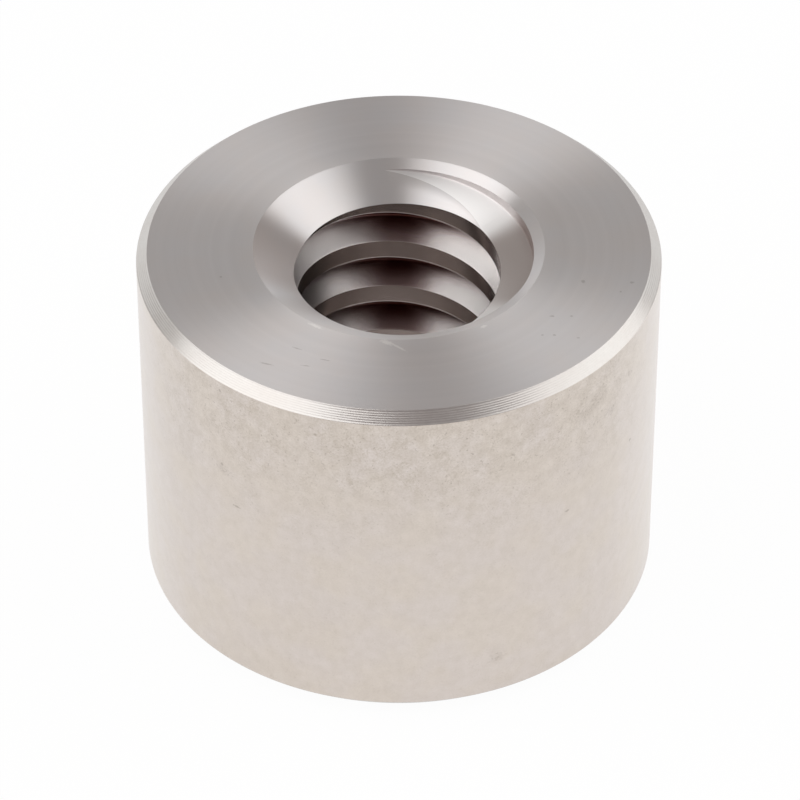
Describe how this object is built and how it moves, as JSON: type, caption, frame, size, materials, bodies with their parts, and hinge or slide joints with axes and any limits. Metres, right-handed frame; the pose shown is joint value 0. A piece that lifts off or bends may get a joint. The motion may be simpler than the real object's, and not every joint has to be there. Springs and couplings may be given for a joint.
{
  "type": "lead screw nut",
  "caption": "Plain cylindrical lead screw nut of turned steel, with bevelled rims, countersunk mouths and a coarse right-hand trapezoidal thread that drives it along its screw.",
  "frame": {"origin": "centre of the lower end face, on the screw's axis", "axes": "+Z along the screw's axis, from the end the nut stands on to the other end"},
  "size_m": [0.036, 0.036, 0.027],
  "materials": {
    "turned_steel": "bare steel as it leaves the lathe: faced end, fine turning marks, satin outside"
  },
  "bodies": {
    "root": {"nut": "turned_steel"}
  },
  "joints": []
}
